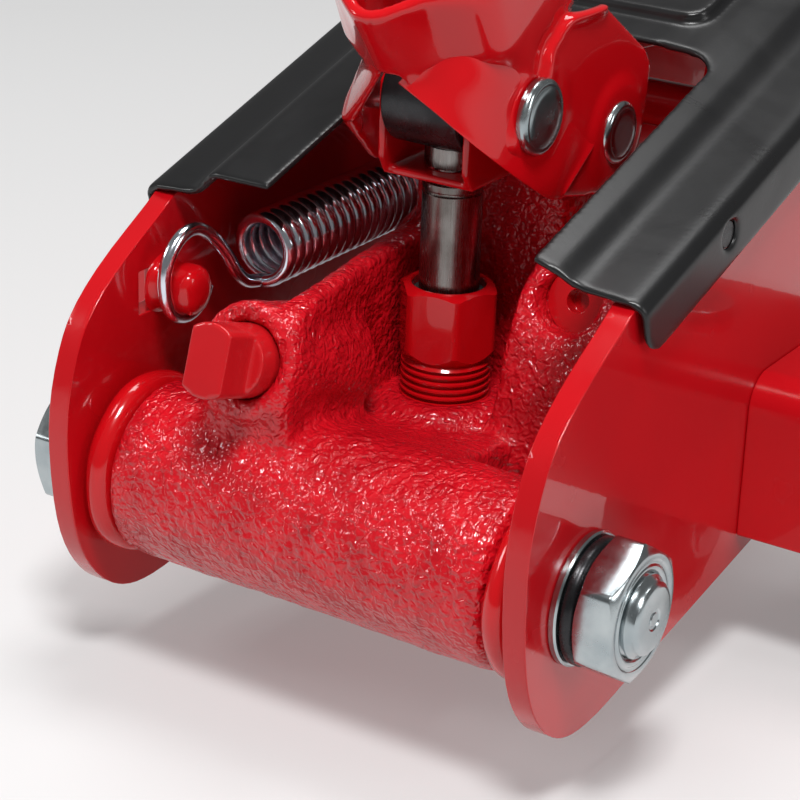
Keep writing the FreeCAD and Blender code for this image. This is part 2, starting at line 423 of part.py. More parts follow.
def sect_open(s, b_r, w_r, b_w, half, depth, back=None):
    """Section with a flat back from -w_r to w_r at b_r, full width from b_w on, round at the front."""
    c2 = depth - half
    bb_ = b_r if back is None else back
    path = [(bb_, 0.0), (bb_, w_r * 0.25), (bb_, w_r * 0.5), (bb_, w_r * 0.75), (bb_, w_r),
            ((b_r + b_w) / 2.0, (w_r + half) / 2.0 + 0.35), (b_w, half), ((b_w + c2) / 2.0, half), (c2, half)]
    for k in range(1, 11):
        a = (math.pi / 2) * (1 - k / 10.0)
        path.append((c2 + half * math.cos(a), half * math.sin(a)))
    low = [(b, -y) for b, y in path[-2:0:-1]]
    return [L(s, b, y) for b, y in path + low]
t_ = SOCKET_T
S1, W1 = -17.8, 17.5          # height and half width of the flaps' rear corners
outer = Part.makeLoft([wire(sect_open(S1, 0.7, W1, 12.0, SOCKET_Y, 43.0)), wire(sect(0.0, 19.6, 41.0, 5.0)), wire(sect(16.0, 17.5, 38.5, 6.5))], True, True)
inner = Part.makeLoft([wire(sect_open(S1 - 0.05, 0.7 + t_, W1 - t_, 12.0, SOCKET_Y - t_, 43.0 - t_)), wire(sect(0.0, 19.6 - t_, 41.0 - 2 * t_, 3.0, b0=t_)), wire(sect(16.05, 17.5 - t_, 38.5 - 2 * t_, 4.0, b0=t_))], True, True)
shell = outer.cut(inner)
def LP(s, b):
    q = L(s, b, 0)
    return (q.x, q.z)
# open the rear below the nose, leaving a flap each side
tri = [L(0.5, -8, 1.2), L(0.5, -8, -1.2), L(S1 - 0.5, -8, -W1 + t_), L(-40, -8, -W1 + t_), L(-40, -8, W1 - t_), L(S1 - 0.5, -8, W1 - t_)]
shell = shell.cut(Part.Face(wire(tri)).extrude(B * 13.0))
# flat walls, and the bent strip behind each that joins them to the flaps
wallp = [LP(S1, 11.5), LP(-36.5, 6.3), (53.0, 55.0), (63.5, 53.6), (71.0, 56.2), (75.0, 61.5), (76.6, 68.0), (77.6, 76.5), (74.5, 80.6), (56.0, 93.0), LP(-10, 30), LP(-10, 20)]
wall = prism_y(wallp, -SOCKET_Y, SOCKET_Y).cut(prism_y([LP(-60, -20), LP(-60, 80), LP(30, 80), LP(30, -20)], -SOCKET_Y + t_, SOCKET_Y - t_))
sock = fuse(shell, wall)
for sg in (1, -1):
    q1 = [L(S1 + 0.05, 0.7, sg * W1), L(S1 + 0.05, 12.0, sg * SOCKET_Y), L(S1 + 0.05, 12.0, sg * (SOCKET_Y - t_)), L(S1 + 0.05, 1.6, sg * (W1 - t_))]
    q2 = [L(-35.8, 5.9, sg * SOCKET_Y), L(-35.8, 6.9, sg * SOCKET_Y), L(-35.8, 6.9, sg * (SOCKET_Y - t_)), L(-35.8, 5.9, sg * (SOCKET_Y - t_))]
    sock = sock.fuse(Part.makeLoft([wire(q1), wire(q2)], True, True))
sock = sock.cut(cy(PIVOT[0], PIVOT[1], 4.55, -40, 40)).cut(cy(ROLLER[0], ROLLER[1], 5.02, -40, 40))
put("handle_socket", sock)
def rivet(x, z, r, rh, th):
    p = [(0, -SOCKET_Y - th), (rh - 1.2, -SOCKET_Y - th), (rh, -SOCKET_Y - th + 1.0), (rh, -SOCKET_Y), (r, -SOCKET_Y),
         (r, SOCKET_Y), (rh, SOCKET_Y), (rh, SOCKET_Y + th - 1.0), (rh - 1.2, SOCKET_Y + th), (0, SOCKET_Y + th)]
    return revolve_y(p, x, z)
put("roller_pin", rivet(ROLLER[0], ROLLER[1], 5.0, 7.4, 2.4))
put("socket_pivot_pin", rivet(PIVOT[0], PIVOT[1], 4.5, 6.3, 2.2))
put("pump_roller", cy(ROLLER[0], ROLLER[1], 9.7, -8.3, 8.3).cut(cy(ROLLER[0], ROLLER[1], 5.06, -20, 20)))
yk = []
for s in (1, -1):
    y0, y1 = sorted((s * 8.6, s * 10.2))
    yk.append(prism_y([(28.0, 60.2), (44.5, 60.2), (44.5, 68.0), (40.5, 79.0), (36.5, 82.6), (29.5, 82.6), (25.8, 79.0), (25.8, 64.0)], y0, y1))
yk.append(box(28.0, 44.5, -10.2, 10.2, 60.2, 61.7))
yoke = fuse(*yk)
hole = fuse(cz(PLUNGER_X - 1.2, 0, 4.3, 58, 63), cz(PLUNGER_X + 1.9, 0, 4.3, 58, 63), box(PLUNGER_X - 1.2, PLUNGER_X + 1.9, -4.3, 4.3, 58, 63))
yoke = yoke.cut(hole).cut(cy(ROLLER[0], ROLLER[1], 5.06, -20, 20))
put("plunger_yoke", yoke)

# ---------------------------------------------------------------- lift arm
AX, AZ = ARM_PIVOT
SX, SZ = SADDLE_PIN
def arm_plate():
    y0, y1 = 38.0, 43.0
    s = hull_y((AX, AZ), 21.5, (SX, SZ), 13.0, y0, y1)
    s = fuse(s, hull_y((AX + 60, AZ - 4), 24.0, (AX + 120, AZ - 14), 19.0, y0, y1))
    s = s.cut(cy(AX, AZ, 15.0, y0 - 1, y1 + 1)).cut(cy(SX, SZ, 8.05, y0 - 1, y1 + 1))
    return s
ap = arm_plate()
put("lift_arm_plate_left", ap)
put("lift_arm_plate_right", mirror(ap))
put("arm_pivot_tube", cy(AX, AZ, 15.0, -YI + 0.4, YI - 0.4).cut(cy(AX, AZ, 10.06, -60, 60)))
cd = (-math.sin(CRANK_REST), -math.cos(CRANK_REST))
cp = (AX + cd[0] * CRANK_LEN, AZ + cd[1] * CRANK_LEN)
crank = hull_y((AX, AZ), 21.0, cp, 15.0, -8.0, 8.0).cut(cy(AX, AZ, 15.0, -20, 20))
crank = crank.cut(slot_y(cp, math.atan2(cd[1], cd[0]), 8.3, 3.6, -20, 20))
put("arm_crank", crank)
def along(s, d):
    """Point on the arm centre line at distance s, offset d upwards."""
    c, n = math.cos(ARM_REST), math.sin(ARM_REST)
    return (AX + s * c - d * n, AZ + s * n + d * c)
web = prism_y([along(28, 13.5), along(205, 9.0), along(205, 12.8), along(28, 17.8)], -38.0, 38.0)
put("arm_top_web", web)
put("saddle_pin", fuse(cy(SX, SZ, 8.0, -44.0, 44.0), cy(SX, SZ, 10.5, 43.05, 44.0), cy(SX, SZ, 10.5, -44.0, -43.05)))

# levelling links: two bars outside the arm plates
def link():
    y0, y1 = 44.5, 48.2
    s = hull_y(LINK_A, 9.5, LINK_B, 9.5, y0, y1)
    s = s.cut(cy(LINK_A[0], LINK_A[1], 6.06, y0 - 1, y1 + 1)).cut(cy(LINK_B[0], LINK_B[1], 6.06, y0 - 1, y1 + 1))
    return s
lk = link()
put("level_links", group(lk, mirror(lk)))
put("link_front_pin", fuse(cy(LINK_B[0], LINK_B[1], 6.0, -48.8, 48.8), cy(LINK_B[0], LINK_B[1], 8.6, 37.4, 44.1), cy(LINK_B[0], LINK_B[1], 8.6, -44.1, -37.4)))

# saddle bracket: two ears and a top deck with a boss
ears = []
for s in (1, -1):
    y0, y1 = sorted((s * 31.0, s * 37.2))
    ears.append(hull_y((SX, SZ), 13.0, LINK_B, 10.0, y0, y1))
    ears.append(prism_y([(SX - 13, SZ), (SX + 22, SZ), (SX + 26, 64.0), (SX - 8, 64.0)], y0, y1))
deck = box(SX - 8, SX + 26, -37.2, 37.2, 60.0, 66.0)
boss = cz(SADDLE_X, 0, 17.0, 66.0, 79.5)
brk = fuse(*ears, deck, boss)
brk = brk.cut(cy(SX, SZ, 8.06, -60, 60)).cut(cy(LINK_B[0], LINK_B[1], 6.02, -60, 60)).cut(cz(SADDLE_X, 0, 9.06, 50, 90))
put("saddle_bracket", brk)
cup = revolve_z([(0, 80.0), (20, 80.0), (38, 83.0), (43.5, 84.5), (SADDLE_R, 87.0), (SADDLE_R, SADDLE_TOP - 1), (SADDLE_R - 1, SADDLE_TOP), (SADDLE_R - 4.5, SADDLE_TOP),
                 (SADDLE_R - 5.5, 89.0), (0, 88.0)], SADDLE_X, 0)
for k in range(4):
    c = box(-4.5, 4.5, 30, 60, 90.5, 100)
    c.rotate(V(0, 0, 0), V(0, 0, 1), 45 + 90 * k)
    c.translate(V(SADDLE_X, 0, 0))
    cup = cup.cut(c)
cup = fuse(cup, cz(SADDLE_X, 0, 9.0, 56.0, 80.0)).cut(cz(SADDLE_X, 0, 12, 57.2, 58.8).cut(cz(SADDLE_X, 0, 7.6, 50, 60)))
put("saddle_cup", cup)
put("saddle_retaining_ring", cz(SADDLE_X, 0, 13.0, 57.25, 58.75).cut(cz(SADDLE_X, 0, 7.65, 50, 60)).cut(box(SADDLE_X, SADDLE_X + 20, -2.5, 2.5, 50, 60)))

# ---------------------------------------------------------------- write every part
for name, s in PARTS.items():
    s = s.copy()
    s.translate(V(X_SHIFT, 0, -GROUND_Z))
    s.exportStep("parts/%s.step" % name)
bb = FreeCAD.BoundBox()
for s in PARTS.values():
    bb.add(s.BoundBox)
print("nodes", len(PARTS), "box x %.2f %.2f y %.2f %.2f z %.2f %.2f" % (bb.XMin, bb.XMax, bb.YMin, bb.YMax, bb.ZMin, bb.ZMax))
for name, s in PARTS.items():
    if not s.isValid() or any(not q.isClosed() for q in s.Solids for q in q.Shells):
        print("CHECK", name, s.isValid(), len(s.Solids))
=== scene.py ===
import bpy, bmesh, math, json
import numpy as np
from mathutils import Vector, Matrix, noise


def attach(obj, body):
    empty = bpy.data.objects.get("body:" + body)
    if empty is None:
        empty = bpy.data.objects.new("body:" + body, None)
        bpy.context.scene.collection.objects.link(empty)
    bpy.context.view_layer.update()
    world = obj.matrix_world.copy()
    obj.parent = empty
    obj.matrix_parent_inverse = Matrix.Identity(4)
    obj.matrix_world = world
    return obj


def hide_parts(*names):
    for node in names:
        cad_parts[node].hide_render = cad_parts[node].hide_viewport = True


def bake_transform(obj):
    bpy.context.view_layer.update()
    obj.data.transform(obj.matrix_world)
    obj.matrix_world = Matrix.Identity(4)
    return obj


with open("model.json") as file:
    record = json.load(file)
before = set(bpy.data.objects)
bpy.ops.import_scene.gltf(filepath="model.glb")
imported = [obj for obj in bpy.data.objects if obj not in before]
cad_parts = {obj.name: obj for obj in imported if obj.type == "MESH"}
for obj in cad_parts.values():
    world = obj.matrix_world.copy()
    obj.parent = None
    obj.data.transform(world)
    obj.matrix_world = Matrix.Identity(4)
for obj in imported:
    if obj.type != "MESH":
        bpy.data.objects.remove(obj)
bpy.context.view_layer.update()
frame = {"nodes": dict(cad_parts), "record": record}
NODES = frame["nodes"]
BODY = {n: b for b, ns in frame["record"]["behaviour"]["bodies"].items() for n in ns}

# The design's working axes (mm, origin on the rear bolt) to the row frame (m).
XS, ZS = -235.245, 42.0
def P(x, y, z):
    return Vector(((x + XS) / 1000.0, y / 1000.0, (z + ZS) / 1000.0))

scene = bpy.context.scene
col = scene.collection

# ------------------------------------------------------------------ camera and stage
cam_d = bpy.data.cameras.new("camera")
cam = bpy.data.objects.new("camera", cam_d)
col.objects.link(cam)
r = Vector((0.5461, -0.8371, 0.0320)).normalized()
f = Vector((0.7775, 0.4923, -0.3913)).normalized()
u = r.cross(f).normalized()
cam.matrix_world = Matrix(((r.x, u.x, -f.x, -0.58752), (r.y, u.y, -f.y, -0.23638), (r.z, u.z, -f.z, 0.24743), (0, 0, 0, 1)))
cam_d.sensor_width = 36.0
cam_d.lens = 110.82
cam_d.clip_start, cam_d.clip_end = 0.01, 50.0
scene.camera = cam
scene.view_settings.view_transform = "Standard"
scene.view_settings.look = "None"

# ------------------------------------------------------------------ materials
def tree(name):
    m = bpy.data.materials.new(name)
    m.use_nodes = True
    nt = m.node_tree
    b = next(n for n in nt.nodes if n.type == "BSDF_PRINCIPLED")
    return m, nt, b

def N(nt, kind, **kw):
    n = nt.nodes.new(kind)
    for k, v in kw.items():
        if k in n.inputs:
            n.inputs[k].default_value = v
        else:
            setattr(n, k, v)
    return n

def coords(nt, scale=(1, 1, 1)):
    tc = N(nt, "ShaderNodeTexCoord")
    mp = N(nt, "ShaderNodeMapping")
    mp.inputs["Scale"].default_value = scale
    nt.links.new(tc.outputs["Object"], mp.inputs["Vector"])
    return mp.outputs["Vector"]

def ntex(nt, vec, scale, detail=3.0, rough=0.5, distort=0.0):
    n = N(nt, "ShaderNodeTexNoise")
    n.inputs["Scale"].default_value = scale
    n.inputs["Detail"].default_value = detail
    n.inputs["Roughness"].default_value = rough
    n.inputs["Distortion"].default_value = distort
    nt.links.new(vec, n.inputs["Vector"])
    return n

def ramp(nt, fac, stops):
    n = N(nt, "ShaderNodeValToRGB")
    cr = n.color_ramp
    while len(cr.elements) < len(stops):
        cr.elements.new(0.5)
    for e, (p, c) in zip(cr.elements, stops):
        e.position = p
        e.color = (c, c, c, 1) if isinstance(c, (int, float)) else (*c, 1)
    nt.links.new(fac, n.inputs["Fac"])
    return n

def bump(nt, height, strength, dist, normal=None):
    n = N(nt, "ShaderNodeBump")
    n.inputs["Strength"].default_value = strength
    n.inputs["Distance"].default_value = dist
    nt.links.new(height, n.inputs["Height"])
    if normal is not None:
        nt.links.new(normal, n.inputs["Normal"])
    return n.outputs["Normal"]

def mixrgb(nt, fac, a, b):
    n = N(nt, "ShaderNodeMix", data_type="RGBA")
    if isinstance(fac, float):
        n.inputs[0].default_value = fac
    else:
        nt.links.new(fac, n.inputs[0])
    for i, v in ((6, a), (7, b)):
        if isinstance(v, tuple):
            n.inputs[i].default_value = (*v, 1)
        else:
            nt.links.new(v, n.inputs[i])
    return n.outputs[2]

def paint(name, c_main, c_dark, c_edge, rough, peel, coat=0.7, coat_rough=0.03, worn=0.0):
    """Sprayed paint: slow colour drift, faint orange peel, a clear top layer, thin or chipped edges."""
    m, nt, b = tree(name)
    v = coords(nt)
    big = ntex(nt, v, 22.0, 2.0)
    c = mixrgb(nt, ramp(nt, big.outputs["Fac"], [(0.35, 0.0), (0.65, 1.0)]).outputs["Color"], c_dark, c_main)
    geo = N(nt, "ShaderNodeNewGeometry")
    edge = ramp(nt, geo.outputs["Pointiness"], [(0.56, 0.0), (0.66, 1.0)])
    fine = ntex(nt, v, 900.0, 4.0, 0.65)
    em = N(nt, "ShaderNodeMath", operation="MULTIPLY")
    nt.links.new(edge.outputs["Color"], em.inputs[0])
    nt.links.new(ramp(nt, fine.outputs["Fac"], [(0.45, 0.0), (0.62, 1.0)]).outputs["Color"], em.inputs[1])
    if worn > 0:
        c = mixrgb(nt, em.outputs[0], c, c_edge)
    nt.links.new(c, b.inputs["Base Color"])
    pe = ntex(nt, v, 260.0, 2.0, 0.4)
    pn = bump(nt, pe.outputs["Fac"], peel, 0.0004)
    nt.links.new(pn, b.inputs["Normal"])
    nt.links.new(pn, b.inputs["Coat Normal"])
    nt.links.new(ramp(nt, ntex(nt, v, 60.0, 3.0).outputs["Fac"], [(0.3, rough * 0.8), (0.7, rough * 1.3)]).outputs["Color"], b.inputs["Roughness"])
    b.inputs["Coat Weight"].default_value = coat
    b.inputs["Coat Roughness"].default_value = coat_rough
    b.inputs["Specular IOR Level"].default_value = 0.15
    return m

def metal(name, c1, c2, rough, scratch=(1, 1, 1), scratch_scale=300.0, bump_s=0.05, coat=0.0, metallic=1.0):
    """Plated or ground steel: stretched scratches, cloudy plating, fine bump."""
    m, nt, b = tree(name)
    v = coords(nt)
    vs = coords(nt, scratch)
    s = ntex(nt, vs, scratch_scale, 5.0, 0.7)
    cl = ntex(nt, v, 110.0, 3.0)
    nt.links.new(mixrgb(nt, ramp(nt, cl.outputs["Fac"], [(0.35, 0.0), (0.68, 1.0)]).outputs["Color"], c2, c1), b.inputs["Base Color"])
    b.inputs["Metallic"].default_value = metallic
    nt.links.new(ramp(nt, s.outputs["Fac"], [(0.3, rough * 0.7), (0.7, rough * 1.5)]).outputs["Color"], b.inputs["Roughness"])
    nt.links.new(bump(nt, s.outputs["Fac"], bump_s, 0.0002), b.inputs["Normal"])
    b.inputs["Coat Weight"].default_value = coat
    return m

RED, RED_D = (0.52, 0.0035, 0.0075), (0.46, 0.003, 0.007)
M = {}
M["red"] = paint("red_gloss", RED, RED_D, (0.30, 0.02, 0.02), 0.22, 0.05)
M["red_sock"] = paint("red_gloss_thick", (0.56, 0.003, 0.007), (0.50, 0.003, 0.006), (0.3, 0.02, 0.02), 0.16, 0.035, coat_rough=0.02)
M["red_stem"] = paint("red_over_forging", (0.50, 0.008, 0.012), (0.40, 0.006, 0.010), (0.16, 0.03, 0.03), 0.30, 0.35, coat=0.6, coat_rough=0.12, worn=0.8)

def cast():
    """Thick gloss paint over a sand casting: pebbled at two scales, with pooled darker paint in the pits."""
    m, nt, b = tree("red_sand_casting")
    v = coords(nt)
    vor = N(nt, "ShaderNodeTexVoronoi", feature="SMOOTH_F1")
    vor.inputs["Scale"].default_value = 850.0
    nt.links.new(v, vor.inputs["Vector"])
    n1 = ntex(nt, v, 600.0, 1.3, 0.5, 0.6)
    n2 = ntex(nt, v, 150.0, 3.0, 0.5)
    pit = ramp(nt, n2.outputs["Fac"], [(0.3, 0.0), (0.6, 1.0)])
    c = mixrgb(nt, pit.outputs["Color"], (0.44, 0.003, 0.009), (0.58, 0.005, 0.013))
    dust = ramp(nt, ntex(nt, v, 1500.0, 2.0, 0.6).outputs["Fac"], [(0.72, 0.0), (0.78, 1.0)])
    c = mixrgb(nt, dust.outputs["Color"], c, (0.20, 0.01, 0.015))
    nt.links.new(c, b.inputs["Base Color"])
    h1 = bump(nt, n1.outputs["Fac"], 0.75, 0.0014)
    h2 = bump(nt, vor.outputs["Distance"], 0.35, 0.0007, h1)
    nt.links.new(h2, b.inputs["Normal"])
    nt.links.new(h2, b.inputs["Coat Normal"])
    b.inputs["Roughness"].default_value = 0.34
    b.inputs["Specular IOR Level"].default_value = 0.12
    b.inputs["Coat Weight"].default_value = 0.85
    b.inputs["Coat Roughness"].default_value = 0.035
    return m
M["cast"] = cast()

def black():
    m, nt, b = tree("black_satin_sheet")
    v = coords(nt)
    n = ntex(nt, v, 1400.0, 2.0, 0.5)
    sm = ramp(nt, ntex(nt, v, 35.0, 4.0, 0.6, 1.2).outputs["Fac"], [(0.35, 0.26), (0.7, 0.37)])
    nt.links.new(sm.outputs["Color"], b.inputs["Roughness"])
    fleck = ramp(nt, ntex(nt, coords(nt, (1, 3, 1)), 500.0, 5.0, 0.75).outputs["Fac"], [(0.70, 0.0), (0.76, 1.0)])
    nt.links.new(mixrgb(nt, fleck.outputs["Color"], (0.009, 0.009, 0.0095), (0.035, 0.035, 0.035)), b.inputs["Base Color"])
    nt.links.new(bump(nt, n.outputs["Fac"], 0.06, 0.0002), b.inputs["Normal"])
    b.inputs["Specular IOR Level"].default_value = 0.36
    b.inputs["Coat Weight"].default_value = 0.04
    b.inputs["Coat Roughness"].default_value = 0.20
    return m
M["black"] = black()
M["zinc"] = metal("zinc_plate", (0.52, 0.56, 0.57), (0.36, 0.41, 0.43), 0.20, (1, 1, 1), 260.0, 0.10)
M["zinc_worn"] = metal("zinc_scuffed", (0.62, 0.66, 0.66), (0.30, 0.34, 0.35), 0.40, (1.0, 1.0, 0.45), 900.0, 0.9)
M["chrome"] = metal("bright_wire", (0.86, 0.88, 0.95), (0.72, 0.75, 0.84), 0.16, (1, 1, 1), 900.0, 0.05)
M["ground"] = metal("ground_steel", (0.30, 0.28, 0.27), (0.16, 0.145, 0.135), 0.24, (6, 6, 0.35), 260.0, 0.14)
# dark metal: real black oxide on the lock washer; on the pump roller the same dark finish is painted shade
M["dark"] = metal("black_oxide_and_painted_shade", (0.045, 0.045, 0.048), (0.02, 0.02, 0.022), 0.26, (1, 1, 1), 400.0, 0.1, metallic=0.7)
M["steel"] = metal("mild_steel", (0.42, 0.42, 0.42), (0.30, 0.30, 0.30), 0.30, (1, 8, 1), 300.0, 0.12)

def turned_face():
    """Bolt end faced on a lathe: fine rings about the bolt axis."""
    m, nt, b = tree("turned_bolt_end")
    v = coords(nt)
    sep = N(nt, "ShaderNodeSeparateXYZ")
    nt.links.new(v, sep.inputs[0])
    def mth(op, a, c):
        n = N(nt, "ShaderNodeMath", operation=op)
        for i, q in ((0, a), (1, c)):
            if isinstance(q, float):
                n.inputs[i].default_value = q
            else:
                nt.links.new(q, n.inputs[i])
        return n.outputs[0]
    dx = mth("SUBTRACT", sep.outputs["X"], XS / 1000.0)
    dz = mth("SUBTRACT", sep.outputs["Z"], ZS / 1000.0)
    rr = mth("SQRT", mth("ADD", mth("MULTIPLY", dx, dx), mth("MULTIPLY", dz, dz)), 0.0)
    rings = mth("SINE", mth("MULTIPLY", rr, 9000.0), 0.0)
    nt.links.new(bump(nt, rings, 0.25, 0.0001), b.inputs["Normal"])
    cl = ntex(nt, v, 240.0, 3.0)
    nt.links.new(mixrgb(nt, cl.outputs["Fac"], (0.40, 0.43, 0.43), (0.55, 0.58, 0.58)), b.inputs["Base Color"])
    b.inputs["Metallic"].default_value = 1.0
    b.inputs["Roughness"].default_value = 0.30
    return m
M["bolt_end"] = turned_face()

def rubber():
    m, nt, b = tree("rubber_black")
    v = coords(nt)
    nt.links.new(mixrgb(nt, ntex(nt, v, 200.0, 4.0).outputs["Fac"], (0.015, 0.015, 0.015), (0.035, 0.034, 0.033)), b.inputs["Base Color"])
    nt.links.new(bump(nt, ntex(nt, v, 1200.0, 2.0).outputs["Fac"], 0.2, 0.0002), b.inputs["Normal"])
    b.inputs["Roughness"].default_value = 0.62
    return m
M["rubber"] = rubber()

def wheel():
    m, nt, b = tree("wheel_enamel")
    v = coords(nt)
    nt.links.new(mixrgb(nt, ntex(nt, v, 90.0, 4.0, 0.6).outputs["Fac"], (0.022, 0.022, 0.024), (0.05, 0.05, 0.052)), b.inputs["Base Color"])
    nt.links.new(bump(nt, ntex(nt, v, 420.0, 4.0, 0.6).outputs["Fac"], 0.30, 0.0005), b.inputs["Normal"])
    nt.links.new(ramp(nt, ntex(nt, v, 150.0, 3.0).outputs["Fac"], [(0.3, 0.28), (0.7, 0.50)]).outputs["Color"], b.inputs["Roughness"])
    return m
M["wheel"] = wheel()

# ------------------------------------------------------------------ mesh helpers
def setmat(o, *ms):
    o.data.materials.clear()
    for m in ms:
        o.data.materials.append(m)

def smooth(me, angle=35.0):
    me.polygons.foreach_set("use_smooth", [True] * len(me.polygons))
    if angle is not None:
        me.set_sharp_from_angle(angle=math.radians(angle))
    me.update()

def bare(o):
    me = o.data
    for a in ("custom_normal",):
        if a in me.attributes:
            me.attributes.remove(me.attributes[a])

def finish_cad(n, mat, bevel=0.0004, segs=2, angle=32.0):
    """A carried-over part keeps its mesh: modifiers only merge its triangles and soften its edges."""
    o = NODES[n]
    bare(o)
    o.data.polygons.foreach_set("use_smooth", [True] * len(o.data.polygons))
    w = o.modifiers.new("weld", "WELD"); w.merge_threshold = 0.000004
    d = o.modifiers.new("planar", "DECIMATE"); d.decimate_type = "DISSOLVE"; d.angle_limit = math.radians(0.6)
    b = o.modifiers.new("edges", "BEVEL"); b.width = bevel; b.segments = segs; b.limit_method = "ANGLE"; b.angle_limit = math.radians(angle)
    b.use_clamp_overlap = True; b.miter_outer = "MITER_ARC"; b.harden_normals = False
    wn = o.modifiers.new("normals", "WEIGHTED_NORMAL"); wn.keep_sharp = True; wn.weight = 80
    setmat(o, mat)

def raw(n):
    """A welded copy of a part's mesh."""
    me = NODES[n].data.copy()
    bm = bmesh.new(); bm.from_mesh(me)
    bmesh.ops.remove_doubles(bm, verts=bm.verts, dist=0.000003)
    bm.to_mesh(me); bm.free()
    for a in ("custom_normal",):
        if a in me.attributes:
            me.attributes.remove(me.attributes[a])
    return me

def new_obj(name, me, body, *mats):
    o = bpy.data.objects.new(name, me)
    col.objects.link(o)
    setmat(o, *mats)
    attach(o, body)
    return o

def laplace(me, iters, factor=0.5, lock=None):
    """Plain neighbour averaging on the vertices, with an optional per-vertex lock weight."""
    nv, ne = len(me.vertices), len(me.edges)
    co = np.empty(nv * 3); me.vertices.foreach_get("co", co); co = co.reshape(-1, 3)
    ed = np.empty(ne * 2, np.int64); me.edges.foreach_get("vertices", ed); ed = ed.reshape(-1, 2)
    deg = np.bincount(ed.ravel(), minlength=nv).astype(float)[:, None]
    w = factor if lock is None else factor * (1.0 - lock)[:, None]
    for it in range(iters):
        for k in ((w, -1.02 * w) if False else (w,)):
            s = np.zeros_like(co)
            for d in range(3):
                s[:, d] = np.bincount(ed[:, 0], co[ed[:, 1], d], nv) + np.bincount(ed[:, 1], co[ed[:, 0], d], nv)
            co = co + k * (s / np.maximum(deg, 1) - co)
    me.vertices.foreach_set("co", co.ravel())
    me.update()
    return co

def remeshed(n, voxel, iters, factor=0.5):
    me = raw(n)
    t = bpy.data.objects.new("tmp_" + n, me)
    col.objects.link(t)
    md = t.modifiers.new("v", "REMESH"); md.mode = "VOXEL"; md.voxel_size = voxel; md.adaptivity = 0.0; md.use_smooth_shade = True
    bpy.context.view_layer.update()
    out = bpy.data.meshes.new_from_object(t.evaluated_get(bpy.context.evaluated_depsgraph_get()))
    bpy.data.objects.remove(t)
    laplace(out, iters, factor)
    return out

def getco(me):
    co = np.empty(len(me.vertices) * 3); me.vertices.foreach_get("co", co)
    return co.reshape(-1, 3)
def setco(me, co):
    me.vertices.foreach_set("co", np.ascontiguousarray(co).ravel()); me.update()
def getno(me):
    no = np.empty(len(me.vertices) * 3); me.vertices.foreach_get("normal", no)
    return no.reshape(-1, 3)

def turned(name, rings, origin, axis, ref, body, mats, nseg=96, replaces=(), angle=38.0, bevel=0.0, face_mat=None):
    """Closed solid turned about an axis. Each ring is (radius, height) in mm, either of which may vary with the angle."""
    ax = Vector(axis).normalized(); e1 = (Vector(ref) - ax * Vector(ref).dot(ax)).normalized(); e2 = ax.cross(e1)
    o0 = P(*origin)
    vs, fs = [], []
    for rr, hh in rings:
        for k in range(nseg):
            t = 2 * math.pi * k / nseg
            rv = rr(t) if callable(rr) else rr
            hv = hh(t) if callable(hh) else hh
            vs.append(o0 + ax * (hv / 1000.0) + (e1 * math.cos(t) + e2 * math.sin(t)) * (rv / 1000.0))
    m = len(rings)
    mi = []
    for i in range(m):
        j = (i + 1) % m
        for k in range(nseg):
            l = (k + 1) % nseg
            fs.append((i * nseg + k, i * nseg + l, j * nseg + l, j * nseg + k))
            mi.append(face_mat(i) if face_mat else 0)
    me = bpy.data.meshes.new(name)
    me.from_pydata([tuple(v) for v in vs], [], fs)
    me.polygons.foreach_set("material_index", mi)
    bm = bmesh.new(); bm.from_mesh(me)
    bmesh.ops.remove_doubles(bm, verts=bm.verts, dist=0.0000005)
    bmesh.ops.recalc_face_normals(bm, faces=bm.faces)
    if bevel > 0:
        ed = [e for e in bm.edges if len(e.link_faces) == 2 and e.calc_face_angle() > math.radians(angle)]
        bmesh.ops.bevel(bm, geom=ed, offset=bevel, segments=2, profile=0.5, affect="EDGES", clamp_overlap=True)
    bm.to_mesh(me); bm.free()
    smooth(me, angle)
    o = new_obj(name, me, body, *mats)
    for q in replaces:
        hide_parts(q)
    return o

def hexr(af, rmax, rot=0.0):
    """Radius of a hexagon with slightly rounded corners at an angle."""
    def g(t):
        a = (t - rot + math.pi / 6) % (math.pi / 3) - math.pi / 6
        return min(af / 2 / math.cos(a), rmax)
    return g

def tube(name, pts, rad, body, mat, ring=12, closed_ends=True, radf=None):
    """Round wire along points (row frame, metres) with a twist-free frame."""
    pts = [Vector(p) for p in pts]
    n = len(pts)
    tan = [(pts[min(i + 1, n - 1)] - pts[max(i - 1, 0)]).normalized() for i in range(n)]
    nrm = tan[0].orthogonal().normalized()
    vs, fs = [], []
    for i in range(n):
        nrm = (nrm - tan[i] * nrm.dot(tan[i])).normalized()
        bi = tan[i].cross(nrm)
        rr = rad if radf is None else rad * radf(i / (n - 1.0))
        for k in range(ring):
            t = 2 * math.pi * k / ring
            vs.append(pts[i] + (nrm * math.cos(t) + bi * math.sin(t)) * rr)
    for i in range(n - 1):
        for k in range(ring):
            l = (k + 1) % ring
            fs.append((i * ring + k, i * ring + l, (i + 1) * ring + l, (i + 1) * ring + k))
    if closed_ends:
        a = len(vs); vs.append(pts[0] - tan[0] * rad * 0.35); b = len(vs); vs.append(pts[-1] + tan[-1] * rad * 0.35)
        for k in range(ring):
            l = (k + 1) % ring
            fs.append((a, l, k)); fs.append((b, (n - 1) * ring + k, (n - 1) * ring + l))
    me = bpy.data.meshes.new(name)
    me.from_pydata([tuple(v) for v in vs], [], fs)
    bm = bmesh.new(); bm.from_mesh(me); bmesh.ops.recalc_face_normals(bm, faces=bm.faces); bm.to_mesh(me); bm.free()
    smooth(me, None)
    o = bpy.data.objects.new(name, me); col.objects.link(o); setmat(o, mat)
    if body:
        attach(o, body)
    return o

